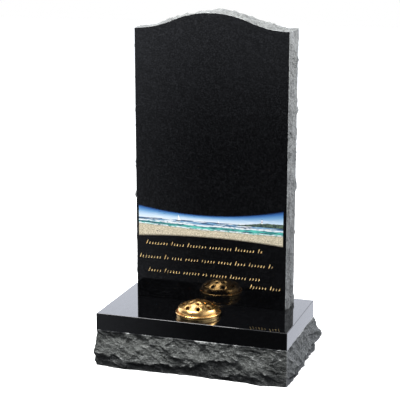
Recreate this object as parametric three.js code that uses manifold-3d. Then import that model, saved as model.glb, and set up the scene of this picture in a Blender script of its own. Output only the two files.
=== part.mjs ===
// Lawn headstone: an upright granite tablet with an ogee top stands on a granite base,
// and a metal flower container with a pierced, domed lid is set into the base in front of it.
// Millimetres, +Z up. The origin is the middle of the base's underside, and the polished face looks to -Y.
import * as THREE from 'three';
import { mergeVertices } from 'three/addons/utils/BufferGeometryUtils.js';
import Module from 'manifold-3d';

const wasm = await Module();
wasm.setup();

// Clearance between pieces that touch
const gap = 0.3;

// Base: a rock-pitched block with a polished band and top
const base_width = 610;
const base_depth = 340;
const rock_height = 115;
const band_height = 54;
const band_arris = 2;

// Tablet
const tablet_width = 492;
const tablet_thickness = 106;
const shoulder_height = 864;
const crown_rise = 50;
const tablet_setback = 203;

// Flower container, and its lid above the base's top
const pot_setback = 86;
const pot_radius = 50;
const pot_depth = 100;
const sheet = 2;
const socket_clearance = 3;
const socket_spare_depth = 4;
const flange_radius = 68;
const flange_height = 7;
const flange_round = 2.5;
const lid_skirt = 2.5;
const lid_rim_height = 6;
const lid_bead_step = 4;
const lid_bead_round = 2;
const lid_shoulder_radius = 52;
const lid_shoulder_height = 30;
const lid_height = 47;

// Stem holes in the lid
const outer_hole_count = 8;
const outer_hole_radius = 6.5;
const outer_ring_radius = 46;
const outer_ring_turn = 18;
const inner_hole_count = 6;
const inner_hole_radius = 4.5;
const inner_ring_radius = 24;
const inner_ring_turn = 48;

// Rock-pitched faces: how far they stand out, and the sizes of the scoops that the pitching tool leaves
const corner_blend = 45;
const base_corner_shares = [0.7, 0.8, 0.15, 1];
const tablet_corner_shares = [1, 0.6, 0.6, 1];
const base_rock = {
  bulge: 15,
  swell: { length: 110, seed: 681 },
  ridge: { level: 0.41, wander: 0.42, length: 125, seed: 3404 },
  undercut: 0.12,
  fade: 0.16,
  scoops: [
    { wide: 120, high: 70, turn: -0.5, depth: 12, seed: 3 },
    { wide: 46, high: 30, turn: -0.62, depth: 6, seed: 11 },
  ],
};
// Share of the bulge that the foot keeps, at each corner and side's middle in turn: back left corner, left side,
// front left corner, front and so on
const base_foot_shares = [0.8, 0.8, 0.65, 0.3, 0.8, 0.2, 0.3, 0.6];
const edge_rock = {
  bulge: 7,
  fade: 0.2,
  scoops: [
    { wide: 95, high: 60, turn: 0.7, depth: 7, seed: 23 },
    { wide: 40, high: 30, turn: -0.4, depth: 4, seed: 31 },
  ],
};
const rock_step = 17;
const rock_rows = 6;

// Facets of the round pieces
const round_sides = 40;
const hole_sides = 12;

// Heights and places that follow from the sizes above
const base_top = rock_height + band_height;
const front = -base_depth / 2;
const pot_middle = front + pot_setback;
const tablet_front = front + tablet_setback;
const tablet_foot = base_top + gap;
const socket_radius = pot_radius + socket_clearance;
const socket_depth = pot_depth + socket_spare_depth;
const lid_radius = flange_radius + gap + sheet;

// Granite shows black where it is polished, and the container is gold-coloured metal
const granite = () => new THREE.MeshStandardMaterial({ color: 0x16171a, roughness: 0.12, metalness: 0 });
const gold_metal = () => new THREE.MeshStandardMaterial({ color: 0xc79a4a, roughness: 0.2, metalness: 1 });

// Repeatable number from 0 to 1 for a cell of a grid
function chance(i, j, seed) {
  const x = Math.sin(i * 127.1 + j * 311.7 + seed * 74.7) * 43758.5453;
  return x - Math.floor(x);
}

// Slow, smooth wander from 0 to 1 along a length
function drift(along, length, seed) {
  const i = Math.floor(along / length);
  const share = along / length - i;
  const ease = share * share * (3 - 2 * share);
  return chance(i, 0, seed) * (1 - ease) + chance(i + 1, 0, seed) * ease;
}

// Shell-shaped scoops that meet in sharp ridges: 0 at the bottom of a scoop, about 1 on the highest ridges
function scooped(u, v, scoop) {
  const c = Math.cos(scoop.turn);
  const s = Math.sin(scoop.turn);
  const x = (u * c + v * s) / scoop.wide;
  const y = (v * c - u * s) / scoop.high;
  let lowest = Infinity;
  for (let i = Math.floor(x) - 1; i <= Math.floor(x) + 1; i++) {
    for (let j = Math.floor(y) - 1; j <= Math.floor(y) + 1; j++) {
      const dx = x - i - chance(i, j, scoop.seed);
      const dy = y - j - chance(i, j, scoop.seed + 1);
      const floor = 0.5 * chance(i, j, scoop.seed + 2);
      lowest = Math.min(lowest, floor + dx * dx + dy * dy);
    }
  }
  return lowest;
}

// All the scoops of a rock face together, about as much out as in
function scoop_relief(u, v, rock) {
  return rock.scoops.reduce((sum, scoop) => sum + scoop.depth * (scooped(u, v, scoop) - 0.5), 0);
}

// How much of the bulge the base's foot keeps at a place along its edge
function foot_share(along) {
  const half_sides = [base_depth, base_depth, base_width, base_width].map((side) => side / 2);
  let rest = along;
  let here = 0;
  while (rest > half_sides[here % 4]) {
    rest -= half_sides[here % 4];
    here += 1;
  }
  const share = rest / half_sides[here % 4];
  const count = base_foot_shares.length;
  return base_foot_shares[here % count] * (1 - share) + base_foot_shares[(here + 1) % count] * share;
}

// How far the base's rock face stands out at a place along its edge and at a height.
// It leans out below the band to a wandering ridge, and is undercut below that.
function base_relief(along, height) {
  const { bulge, swell, ridge, undercut } = base_rock;
  const share = height / rock_height;
  const crest = ridge.level + ridge.wander * (drift(along, ridge.length, ridge.seed) - 0.5);
  const above = (1 - share) / (1 - crest);
  const under = Math.max(0, Math.min(1, (share - crest) / undercut + 1));
  const below = foot_share(along) + (1 - foot_share(along)) * under;
  const lean = bulge * 0.6 * (1 + drift(along, swell.length, swell.seed)) * Math.min(above, below);
  const fade = Math.min(1, (1 - share) / base_rock.fade);
  return lean + fade * scoop_relief(along, height, base_rock);
}

// How far the tablet's rock edge stands out. Both its arrises stay true.
function edge_relief(along, across) {
  const share = across / tablet_thickness;
  const middle = 1 - (2 * share - 1) ** 2;
  const fade = Math.min(1, Math.min(share, 1 - share) / edge_rock.fade);
  const lean = edge_rock.bulge * (0.5 + drift(along, 80, 41)) * middle;
  return lean + fade * scoop_relief(along, across, edge_rock);
}

// Points along straight runs between corners, each with its outward direction.
// Near a corner the direction turns towards the next run's, so that the corner stands out both ways,
// and its length falls to the share of the relief that the corner keeps.
function edge_points(runs, corner_shares, closed) {
  const lengths = runs.map((run) => run.from.distanceTo(run.to));
  const points = [];
  let start = 0;
  runs.forEach((run, k) => {
    const count = Math.max(2, Math.round(lengths[k] / rock_step));
    const before = closed || k > 0 ? runs.at(k - 1).out : new THREE.Vector3();
    const after = closed || k < runs.length - 1 ? runs[(k + 1) % runs.length].out : new THREE.Vector3();
    for (let i = 0; i < count; i++) {
      const from_start = lengths[k] * i / count;
      const near_start = Math.max(0, 1 - from_start / corner_blend);
      const near_end = Math.max(0, 1 - (lengths[k] - from_start) / corner_blend);
      const lost_at_start = near_start * (1 - corner_shares[k]);
      const lost_at_end = near_end * (1 - corner_shares[(k + 1) % corner_shares.length]);
      const out = run.out.clone().addScaledVector(before, near_start).addScaledVector(after, near_end);
      points.push({
        place: run.from.clone().lerp(run.to, i / count),
        out: out.multiplyScalar(1 - lost_at_start - lost_at_end),
        along: start + from_start,
      });
    }
    start += lengths[k];
  });
  return points;
}

// Closed body through rings of as many points each, with a fan to a middle point at either end
function body_through(rings, first_middle, last_middle) {
  const sides = rings[0].length;
  const places = rings.flat().concat([first_middle, last_middle]);
  const first = places.length - 2;
  const last = places.length - 1;
  const faces = [];
  for (let i = 0; i < sides; i++) {
    const next = (i + 1) % sides;
    const end = (rings.length - 1) * sides;
    faces.push(first, next, i, last, end + i, end + next);
    for (let r = 0; r < rings.length - 1; r++) {
      const low = r * sides;
      const high = low + sides;
      faces.push(low + i, low + next, high + next, low + i, high + next, high + i);
    }
  }
  const geometry = new THREE.BufferGeometry();
  geometry.setAttribute('position', new THREE.Float32BufferAttribute(places.flatMap((p) => p.toArray()), 3));
  geometry.setIndex(faces);
  return geometry;
}

// A closed mesh as a solid that can be cut
function solid(geometry) {
  const bare = geometry.clone();
  bare.deleteAttribute('normal');
  bare.deleteAttribute('uv');
  const merged = mergeVertices(bare);
  return new wasm.Manifold(new wasm.Mesh({
    numProp: 3,
    vertProperties: new Float32Array(merged.attributes.position.array),
    triVerts: new Uint32Array(merged.index.array),
  }));
}

// A solid's own mesh
function mesh_of(body) {
  const { vertProperties, triVerts } = body.getMesh();
  const geometry = new THREE.BufferGeometry();
  geometry.setAttribute('position', new THREE.BufferAttribute(vertProperties, 3));
  geometry.setIndex(new THREE.BufferAttribute(triVerts, 1));
  geometry.computeVertexNormals();
  return geometry;
}

// Upright cylinder between two heights
function upright(radius, low, high, x, y, sides) {
  const cylinder = new THREE.CylinderGeometry(radius, radius, high - low, sides);
  return cylinder.rotateX(Math.PI / 2).translate(x, y, (low + high) / 2);
}

// Base stone, with its round socket cut from the top
function base_stone() {
  const corners = [[-1, 1], [-1, -1], [1, -1], [1, 1]];
  const corner = ([x, y], inset) => new THREE.Vector3(
    x * (base_width / 2 - inset), y * (base_depth / 2 - inset), 0);
  const outward = [[-1, 0], [0, -1], [1, 0], [0, 1]];
  const edge = edge_points(corners.map((here, k) => ({
    from: corner(here, 0),
    to: corner(corners[(k + 1) % 4], 0),
    out: new THREE.Vector3(...outward[k], 0),
  })), base_corner_shares, true);
  const rings = [];
  for (let row = 0; row <= rock_rows; row++) {
    const height = rock_height * row / rock_rows;
    rings.push(edge.map(({ place, out, along }) => place.clone()
      .addScaledVector(out, base_relief(along, height)).setZ(height)));
  }
  const shrink = new THREE.Vector3(1 - 2 * band_arris / base_width, 1 - 2 * band_arris / base_depth, 1);
  rings.push(edge.map(({ place }) => place.clone().setZ(base_top - band_arris)));
  rings.push(edge.map(({ place }) => place.clone().multiply(shrink).setZ(base_top)));
  const block = body_through(rings, new THREE.Vector3(0, 0, 0), new THREE.Vector3(0, 0, base_top));
  const socket = upright(socket_radius, base_top - socket_depth, base_top + 1, 0, pot_middle, round_sides);
  return mesh_of(solid(block).subtract(solid(socket)));
}

// Height of the ogee top over the shoulders: an arc at the crown meets an equal, hollow arc at each shoulder
function ogee(x) {
  const half = tablet_width / 2;
  const radius = (half ** 2 + crown_rise ** 2) / (4 * crown_rise);
  const from_crown = Math.abs(x);
  if (from_crown < half / 2) return crown_rise - radius + Math.sqrt(radius ** 2 - from_crown ** 2);
  return radius - Math.sqrt(radius ** 2 - (half - from_crown) ** 2);
}

// Tablet stone: its outline from foot to foot over the top, carried through the thickness in rows
function tablet_stone() {
  const half = tablet_width / 2;
  const at = (x, z) => new THREE.Vector3(x, tablet_front, tablet_foot + z);
  const [left, right, up] = [[-1, 0, 0], [1, 0, 0], [0, 0, 1]].map((way) => new THREE.Vector3(...way));
  const outline = edge_points([
    { from: at(-half, 0), to: at(-half, shoulder_height), out: left },
    { from: at(-half, shoulder_height), to: at(half, shoulder_height), out: up },
    { from: at(half, shoulder_height), to: at(half, 0), out: right },
  ], tablet_corner_shares, false);
  const run = 2 * shoulder_height + tablet_width;
  outline.push({ place: at(half, 0), out: right, along: run });
  for (const point of outline) {
    const over_top = point.along > shoulder_height && point.along < run - shoulder_height;
    if (over_top) point.place.z += ogee(point.place.x);
  }
  const rings = [];
  for (let row = 0; row <= rock_rows; row++) {
    const across = tablet_thickness * row / rock_rows;
    const ring = outline.map(({ place, out, along }) => place.clone()
      .addScaledVector(out, edge_relief(along, across)).setY(tablet_front + across));
    ring.push(new THREE.Vector3(0, tablet_front + across, tablet_foot));
    rings.push(ring);
  }
  const middle = (y) => new THREE.Vector3(0, y, tablet_foot + shoulder_height / 2);
  return body_through(rings, middle(tablet_front), middle(tablet_front + tablet_thickness));
}

// Round body from a closed profile of radii and heights over the base's top
function spun(profile) {
  const outline = profile.map(([radius, height]) => new THREE.Vector2(radius, height));
  const geometry = new THREE.LatheGeometry(outline, round_sides);
  return geometry.rotateX(Math.PI / 2).translate(0, pot_middle, base_top);
}

// Flower pot: a straight cup with a flange folded down onto the stone, all of one sheet
function flower_pot() {
  const floor = -pot_depth;
  const corner = flange_radius - flange_round;
  const round_over = [0, 1, 2, 3].map((i) => {
    const angle = i * Math.PI / 6;
    return [corner + flange_round * Math.sin(angle), flange_height - flange_round * (1 - Math.cos(angle))];
  });
  return spun([
    [0, floor],
    [pot_radius, floor],
    [pot_radius, flange_height - sheet],
    [flange_radius - sheet, flange_height - sheet],
    [flange_radius - sheet, gap],
    [flange_radius, gap],
    ...round_over.reverse(),
    [pot_radius - sheet, flange_height],
    [pot_radius - sheet, floor + sheet],
    [0, floor + sheet],
  ]);
}

// Dome and rounded shoulder of the lid, from its middle out, as the outer face or as far in as the inner face
function dome_and_shoulder(bead_inner, bead_top, inset) {
  const edge = lid_shoulder_radius - inset;
  const points = [];
  for (const share of [0, 1 / 3, 2 / 3]) {
    const rise = (lid_height - lid_shoulder_height) * (1 - share ** 2);
    points.push([edge * share, lid_shoulder_height + rise - inset]);
  }
  for (const turn of [90, 60, 30, 0]) {
    const angle = THREE.MathUtils.degToRad(turn);
    const radius = edge + (bead_inner - lid_shoulder_radius) * Math.cos(angle);
    const height = bead_top + (lid_shoulder_height - bead_top) * Math.sin(angle) - inset;
    points.push([radius, height]);
  }
  return points;
}

// Lid: a rim bead that caps the flange, a rounded shoulder and a low dome, pierced for stems
function flower_lid() {
  const seat = flange_height + gap;
  const bead_top = seat + lid_rim_height;
  const bead_inner = lid_radius - lid_bead_step;
  const skirt_foot = seat - lid_skirt;
  let lid = solid(spun([
    ...dome_and_shoulder(bead_inner, bead_top, sheet),
    [bead_inner - sheet, seat],
    [lid_radius - sheet, seat],
    [lid_radius - sheet, skirt_foot],
    [lid_radius, skirt_foot],
    [lid_radius, bead_top - lid_bead_round],
    [lid_radius - lid_bead_round / 2, bead_top],
    ...dome_and_shoulder(bead_inner, bead_top, 0).reverse(),
  ]));
  const pierce = (count, ring, turn, radius) => {
    for (let k = 0; k < count; k++) {
      const angle = (turn * Math.PI) / 180 + (2 * Math.PI * k) / count;
      const x = ring * Math.cos(angle);
      const y = pot_middle + ring * Math.sin(angle);
      const punch = upright(radius, base_top + seat + sheet, base_top + lid_height + sheet, x, y, hole_sides);
      lid = lid.subtract(solid(punch));
    }
  };
  pierce(outer_hole_count, outer_ring_radius, outer_ring_turn, outer_hole_radius);
  pierce(inner_hole_count, inner_ring_radius, inner_ring_turn, inner_hole_radius);
  pierce(1, 0, 0, inner_hole_radius);
  return mesh_of(lid);
}

// Named piece of the model
function piece(name, geometry, material) {
  const mesh = new THREE.Mesh(geometry, material);
  mesh.name = name;
  return mesh;
}

const headstone = new THREE.Group();
headstone.add(
  piece('headstone_base', base_stone(), granite()),
  piece('headstone_tablet', tablet_stone(), granite()),
  piece('flower_pot', flower_pot(), gold_metal()),
  piece('flower_lid', flower_lid(), gold_metal()),
);

export default headstone;
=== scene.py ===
"""Visual model of a lawn headstone: a black granite tablet with an ogee top on a rock-pitched base,
and a gold-coloured flower container set into the base in front of it.
Metres, +Z up, in the frame of the solids, with the polished face towards -Y."""
import math
import random

import bmesh
import bpy
import numpy as np
from mathutils import Matrix, Vector
from mathutils.geometry import delaunay_2d_cdt


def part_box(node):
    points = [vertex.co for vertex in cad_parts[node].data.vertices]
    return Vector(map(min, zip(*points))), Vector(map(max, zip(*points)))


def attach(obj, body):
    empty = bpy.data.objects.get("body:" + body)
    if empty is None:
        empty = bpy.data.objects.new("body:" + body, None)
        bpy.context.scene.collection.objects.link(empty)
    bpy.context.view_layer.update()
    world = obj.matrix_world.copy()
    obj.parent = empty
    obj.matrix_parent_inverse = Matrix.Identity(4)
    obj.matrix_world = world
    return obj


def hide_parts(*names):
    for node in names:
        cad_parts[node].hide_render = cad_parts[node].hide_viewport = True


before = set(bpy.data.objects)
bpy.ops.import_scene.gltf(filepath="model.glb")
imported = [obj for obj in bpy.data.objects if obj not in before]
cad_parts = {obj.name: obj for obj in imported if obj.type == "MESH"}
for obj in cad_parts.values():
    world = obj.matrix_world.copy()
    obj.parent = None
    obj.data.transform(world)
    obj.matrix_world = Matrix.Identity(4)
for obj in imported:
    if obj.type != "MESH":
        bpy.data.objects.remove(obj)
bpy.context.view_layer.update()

# Sizes of the stones. Heights and places come from the solids where their boxes give them.
BASE_WIDTH = 0.610
BASE_DEPTH = 0.340
ROCK_HEIGHT = 0.115
BASE_ARRIS = 0.002
BASE_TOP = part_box("headstone_base")[1][2]
TABLET_WIDTH = 0.492
TABLET_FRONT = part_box("headstone_tablet")[0][1]
TABLET_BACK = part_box("headstone_tablet")[1][1]
TABLET_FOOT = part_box("headstone_tablet")[0][2]
SHOULDER_HEIGHT = 0.864
CROWN_RISE = 0.050

# Sizes of the flower container, with heights over the base's top
POT_LOW, POT_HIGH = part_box("flower_pot")
LID_LOW, LID_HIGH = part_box("flower_lid")
POT_MIDDLE = Vector(((POT_LOW[0] + POT_HIGH[0]) / 2, (POT_LOW[1] + POT_HIGH[1]) / 2, BASE_TOP))
SHEET = 0.002
POT_RADIUS = 0.050
POT_DEPTH = BASE_TOP - POT_LOW[2]
SOCKET_RADIUS = POT_RADIUS + 0.003
SOCKET_DEPTH = POT_DEPTH + 0.004
FLANGE_RADIUS = (POT_HIGH[0] - POT_LOW[0]) / 2
FLANGE_HEIGHT = POT_HIGH[2] - BASE_TOP
LID_RADIUS = (LID_HIGH[0] - LID_LOW[0]) / 2
LID_SKIRT_FOOT = LID_LOW[2] - BASE_TOP
LID_HEIGHT = LID_HIGH[2] - BASE_TOP
LID_SEAT = FLANGE_HEIGHT + 0.0003
LID_BEAD_TOP = LID_SEAT + 0.006
LID_BEAD_STEP = 0.0062
LID_SHOULDER_RADIUS = 0.052
LID_SHOULDER_HEIGHT = 0.030

# Stem holes: how many, the radius of their ring, where the ring starts in degrees, and their own radius
STEM_HOLES = [(8, 0.046, 18, 0.0065), (6, 0.024, 48, 0.0045), (1, 0.0, 0, 0.0045)]
# Dimple round each stem hole: how deep, how fast it fades outwards, and where it ends
DIMPLE_DEPTH = 0.0013
DIMPLE_SPREAD = 0.0031
DIMPLE_REACH = 0.010

# Camera at the photograph's viewing angle
CAMERA_AZIMUTH = math.radians(18.406)
CAMERA_ELEVATION = math.radians(13.065)
CAMERA_DISTANCE = 3.856
CAMERA_LENS = 109.0
CAMERA_AIM_RIGHT = -0.0212
CAMERA_AIM_UP = 0.5002

# Rock-pitched relief of the solids, and the finer breakage that the solids leave out
ROCK_SPACING = 0.0026
CORNER_BLEND = 0.045
BASE_CORNER_SHARES = [0.7, 0.8, 0.15, 1]
TABLET_CORNER_SHARES = [1, 0.6, 0.6, 1]
BASE_BULGE = 0.015
BASE_SWELL_DRIFT = (0.110, 681)
BASE_RIDGE_LEVEL = 0.41
BASE_RIDGE_WANDER = 0.42
BASE_RIDGE_DRIFT = (0.125, 3404)
BASE_UNDERCUT = 0.12
# Share of the bulge that the foot keeps, at each corner and side's middle in turn from the back left corner
BASE_FOOT_SHARES = [0.8, 0.8, 0.65, 0.3, 0.8, 0.2, 0.3, 0.6]
BASE_FADE = 0.16
EDGE_BULGE = 0.007
EDGE_SWELL_DRIFT = (0.080, 41)
EDGE_FADE = 0.2
# Each scoop: width, height, turn, depth, seed
BASE_SCOOPS = [(0.120, 0.070, -0.5, 0.012, 3), (0.046, 0.030, -0.62, 0.006, 11)]
EDGE_SCOOPS = [(0.095, 0.060, 0.7, 0.007, 23), (0.040, 0.030, -0.4, 0.004, 31)]
FINE_SCOOPS = [(0.052, 0.019, -0.56, 0.0060, 51), (0.023, 0.010, -0.5, 0.0038, 57),
               (0.009, 0.006, -0.3, 0.0011, 61)]
FINE_WARP = 0.009
# Share of a rock face over which the fine breakage fades out at an arris
FINE_FADE = 0.05
# Crumbs of two sizes: height, size, seed
CRUMBS = [(0.0006, 0.0055, 73), (0.0004, 0.0028, 74)]

# Meshing: seams closer than the weld are closed, and edges sharper than this angle shade as edges
WELD = 5e-7
SHARP_EDGE = math.radians(38)
ROUND_SIDES = 96
LID_SIDES = 128
HOLE_SIDES = 28
DOME_STEPS = 26

FACE, ROCK, SAWN, GILDING = range(4)


# Camera, lights and floor

def make_camera():
    """Camera aimed as the photograph was taken, without shift."""
    sin_az, cos_az = math.sin(CAMERA_AZIMUTH), math.cos(CAMERA_AZIMUTH)
    sin_el, cos_el = math.sin(CAMERA_ELEVATION), math.cos(CAMERA_ELEVATION)
    back = Vector((sin_az * cos_el, -cos_az * cos_el, sin_el))
    right = Vector((cos_az, sin_az, 0))
    up = back.cross(right)
    place = right * CAMERA_AIM_RIGHT + up * CAMERA_AIM_UP + back * CAMERA_DISTANCE
    camera = bpy.data.objects.new("camera", bpy.data.cameras.new("camera"))
    camera.matrix_world = Matrix.Translation(place) @ Matrix((right, up, back)).transposed().to_4x4()
    camera.data.lens = CAMERA_LENS
    camera.data.sensor_width = 36
    camera.data.clip_end = 100
    bpy.context.collection.objects.link(camera)
    bpy.context.scene.camera = camera


def make_light(name, place, aim, size, power, seen_in_gloss=True):
    """Soft rectangular light."""
    data = bpy.data.lights.new(name, "AREA")
    data.shape = "RECTANGLE"
    data.size, data.size_y = size
    data.energy = power
    light = bpy.data.objects.new(name, data)
    light.location = place
    light.rotation_euler = (Vector(aim) - Vector(place)).to_track_quat("-Z", "Y").to_euler()
    light.visible_glossy = seen_in_gloss
    bpy.context.collection.objects.link(light)


class Tree:
    """Short calls for one node tree."""

    def __init__(self, tree):
        self.tree = tree
        self.nodes = tree.nodes

    def feed(self, socket, value):
        if isinstance(value, bpy.types.NodeSocket):
            self.tree.links.new(value, socket)
        else:
            socket.default_value = value

    def node(self, kind, inputs=None, **settings):
        made = self.nodes.new(kind)
        for name, value in settings.items():
            setattr(made, name, value)
        for name, value in (inputs or {}).items():
            self.feed(made.inputs[name], value)
        return made

    def maths(self, operation, *values):
        made = self.nodes.new("ShaderNodeMath")
        made.operation = operation
        for socket, value in zip(made.inputs, values):
            self.feed(socket, value)
        return made.outputs[0]

    def vector_maths(self, operation, a, b):
        return self.node("ShaderNodeVectorMath", {0: a, 1: b}, operation=operation).outputs[0]

    def add(self, a, b):
        return self.maths("ADD", a, b)

    def take(self, a, b):
        return self.maths("SUBTRACT", a, b)

    def times(self, a, b):
        return self.maths("MULTIPLY", a, b)

    def ratio(self, a, b):
        return self.maths("DIVIDE", a, b)

    def most(self, a, b):
        return self.maths("MAXIMUM", a, b)

    def step(self, value, low, high, to_low=0.0, to_high=1.0):
        """Smooth rise from to_low to to_high as the value goes from low to high."""
        made = self.node("ShaderNodeMapRange", interpolation_type="SMOOTHSTEP")
        for name, given in zip(("Value", "From Min", "From Max", "To Min", "To Max"),
                               (value, low, high, to_low, to_high)):
            self.feed(made.inputs[name], given)
        return made.outputs["Result"]

    def within(self, value, low, high, soft):
        """1 between low and high, 0 outside, with soft edges."""
        rise = self.step(self.take(value, low), -soft, soft)
        fall = self.step(self.take(value, high), -soft, soft, 1.0, 0.0)
        return self.times(rise, fall)

    def mix(self, share, a, b):
        """Colour a, or b where the share is 1."""
        made = self.nodes.new("ShaderNodeMix")
        made.data_type = "RGBA"
        for socket, value in zip((made.inputs[0], made.inputs[6], made.inputs[7]), (share, a, b)):
            self.feed(socket, value)
        return made.outputs[2]

    def ramp(self, value, stops):
        """Colour ramp of (place, colour) stops."""
        made = self.nodes.new("ShaderNodeValToRGB")
        marks = made.color_ramp.elements
        while len(marks) < len(stops):
            marks.new(0.5)
        for mark, (place, colour) in zip(marks, stops):
            mark.position = place
            mark.color = colour
        self.feed(made.inputs[0], value)
        return made.outputs[0]

    def noise(self, vector, scale, detail=2.0, stretch=None):
        """Noise value from 0 to 1."""
        if stretch:
            vector = self.vector_maths("MULTIPLY", vector, stretch)
        made = self.node("ShaderNodeTexNoise", {"Vector": vector, "Scale": scale, "Detail": detail})
        return made.outputs["Fac"]

    def line_noise(self, along, scale, detail):
        """Noise value from 0 to 1 that changes along one line only."""
        made = self.node("ShaderNodeTexNoise", {"W": along, "Scale": scale, "Detail": detail},
                         noise_dimensions="1D")
        return made.outputs["Fac"]

    def parts(self, vector):
        """The three parts of a vector."""
        return self.node("ShaderNodeSeparateXYZ", {"Vector": vector}).outputs

    def place(self):
        """Place on the piece, in metres."""
        return self.nodes.new("ShaderNodeTexCoord").outputs["Object"]


def light_from_around():
    """Studio round the stone: bright behind and above, dim in front and below, a glow from the front left."""
    world = bpy.data.worlds.new("studio")
    bpy.context.scene.world = world
    world.use_nodes = True
    world.node_tree.nodes.clear()
    tree = Tree(world.node_tree)
    way = tree.nodes.new("ShaderNodeTexCoord").outputs["Generated"]
    x, y, z = tree.parts(way)
    behind = tree.times(tree.step(y, -0.1, 0.25), tree.step(x, -0.45, 0.35, 2.35, 1.6))
    behind = tree.times(behind, tree.step(z, 0.3, 0.8, 1.0, 0.2))
    behind = tree.times(behind, tree.step(z, -0.12, 0.05, 0.85, 1.0))
    behind = tree.times(behind, tree.step(z, -0.5, -0.34))
    right = tree.times(tree.step(x, 0.45, 0.95, 0.0, 1.3), tree.step(z, -0.1, 0.25))
    leftward = tree.maths("ARCTAN2", tree.times(x, -1.0), tree.times(y, -1.0))
    left = tree.step(leftward, math.radians(17.5), math.radians(29), 0.036, 0.58)
    left = tree.times(left, tree.step(leftward, math.radians(80), math.radians(130), 1.0, 0.4))
    left = tree.times(left, tree.step(z, -0.5, -0.36))
    far = tree.step(z, -0.2, 0.0, 0.0, 0.37)
    path = tree.nodes.new("ShaderNodeLightPath").outputs
    in_gloss = tree.take(1.0, tree.times(path["Is Diffuse Ray"], 0.7))
    front = tree.times(tree.times(tree.add(left, far), in_gloss), tree.step(z, 0.0, 0.1, 1.0, 0.02))
    above = tree.step(z, 0.3, 0.6, 0.0, 0.3)
    brightness = tree.add(0.006, tree.add(tree.most(behind, right), tree.add(front, above)))
    lit = tree.node("ShaderNodeBackground", {"Color": (0.94, 0.98, 1.09, 1), "Strength": brightness})
    seen = tree.node("ShaderNodeBackground", {"Color": (1, 1, 1, 1), "Strength": 1.0})
    both = tree.node("ShaderNodeMixShader", {0: path["Is Camera Ray"], 1: lit.outputs[0], 2: seen.outputs[0]})
    tree.node("ShaderNodeOutputWorld", {"Surface": both.outputs[0]})


def make_floor():
    """Plain pale floor, left out of the polished stone's reflections."""
    mesh = bpy.data.meshes.new("floor")
    reach = 12.0
    mesh.from_pydata([(-reach, -reach, 0), (reach, -reach, 0), (reach, reach, 0), (-reach, reach, 0)],
                     [], [(0, 1, 2, 3)])
    floor = bpy.data.objects.new("floor", mesh)
    bpy.context.collection.objects.link(floor)
    material = bpy.data.materials.new("pale_floor")
    material.use_nodes = True
    shader = material.node_tree.nodes["Principled BSDF"]
    shader.inputs["Base Color"].default_value = (0.7, 0.7, 0.7, 1)
    shader.inputs["Roughness"].default_value = 0.9
    shader.inputs["Emission Color"].default_value = (1, 1, 1, 1)
    shader.inputs["Emission Strength"].default_value = 0.62
    mesh.materials.append(material)
    floor.visible_glossy = False
    floor.visible_diffuse = False


# Shared effects, as node groups

def new_group(name, numbers, outputs):
    """Empty node group of a vector and named numbers, and its inner tree, input sockets and outputs.
    Its outputs are numbers, but for one called Colour."""
    group = bpy.data.node_groups.new(name, "ShaderNodeTree")
    group.interface.new_socket("Vector", in_out="INPUT", socket_type="NodeSocketVector")
    for socket, value in numbers.items():
        made = group.interface.new_socket(socket, in_out="INPUT", socket_type="NodeSocketFloat")
        made.default_value = value
    for socket in outputs:
        kind = "NodeSocketColor" if socket == "Colour" else "NodeSocketFloat"
        group.interface.new_socket(socket, in_out="OUTPUT", socket_type=kind)
    tree = Tree(group)
    return group, tree, tree.nodes.new("NodeGroupInput").outputs, tree.nodes.new("NodeGroupOutput").inputs


def granite_crystals():
    """Mineral grains of a dark granite: pale flecks, cloudy shade and a grain height."""
    group, tree, given, out = new_group(
        "granite_crystals", {"Grain Size": 0.0012, "Fleck Share": 0.2}, ("Flecks", "Cloud", "Grain"))
    scale = tree.ratio(1.0, given["Grain Size"])
    cells = tree.node("ShaderNodeTexVoronoi", {"Vector": given["Vector"], "Scale": scale})
    tone = tree.node("ShaderNodeSeparateColor", {"Color": cells.outputs["Color"]}).outputs[0]
    limit = tree.take(1.0, given["Fleck Share"])
    flecks = tree.step(tree.take(tone, limit), -0.02, 0.08)
    clumps = tree.step(tree.noise(given["Vector"], tree.times(scale, 0.18), 3.0), 0.38, 0.66)
    tree.feed(out["Flecks"], tree.times(flecks, tree.step(clumps, 0.0, 1.0, 0.6, 1.0)))
    tree.feed(out["Cloud"], tree.noise(given["Vector"], tree.times(scale, 0.035), 4.0))
    tree.feed(out["Grain"], tree.noise(given["Vector"], tree.times(scale, 0.8), 3.0))
    return group


def broken_stone():
    """Small chips of broken granite: their height, and their slanting edges, where the rock's colour is
    lightened as a painted highlight.
    """
    group, tree, given, out = new_group("broken_stone", {}, ("Height", "Edges"))
    slant = (0.3, math.radians(-33), 0.0)
    long_ways = (0.42, 1.0, 1.0)
    turned = tree.node("ShaderNodeMapping", {
        "Vector": given["Vector"], "Rotation": slant, "Scale": long_ways}).outputs[0]
    fold = tree.maths("ABSOLUTE", tree.take(tree.noise(turned, 62.0, 4.0), 0.5))
    patches = tree.step(tree.noise(given["Vector"], 34.0, 2.0), 0.46, 0.62)
    tree.feed(out["Edges"], tree.times(tree.step(fold, 0.0, 0.016, 0.6, 0.0), patches))
    chips = tree.node("ShaderNodeTexVoronoi", {"Vector": turned, "Scale": 105.0}).outputs["Distance"]
    height = tree.add(tree.times(chips, 0.55), tree.times(tree.noise(given["Vector"], 260.0, 5.0), 0.3))
    tree.feed(out["Height"], tree.add(height, tree.step(fold, 0.0, 0.05, 0.3, 0.0)))
    return group


def bruised_arris():
    """Pale bruising of the stone along an edge where the pitching tool struck."""
    group, tree, given, out = new_group("bruised_arris", {"Distance": 0.0, "Width": 0.003}, ("Bruise",))
    ragged = tree.step(tree.noise(given["Vector"], 90.0, 3.0), 0.3, 0.7, 0.5, 1.6)
    reach = tree.times(given["Width"], ragged)
    near = tree.ratio(given["Distance"], reach)
    tree.feed(out["Bruise"], tree.step(near, 0.3, 1.0, 1.0, 0.0))
    return group


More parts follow.
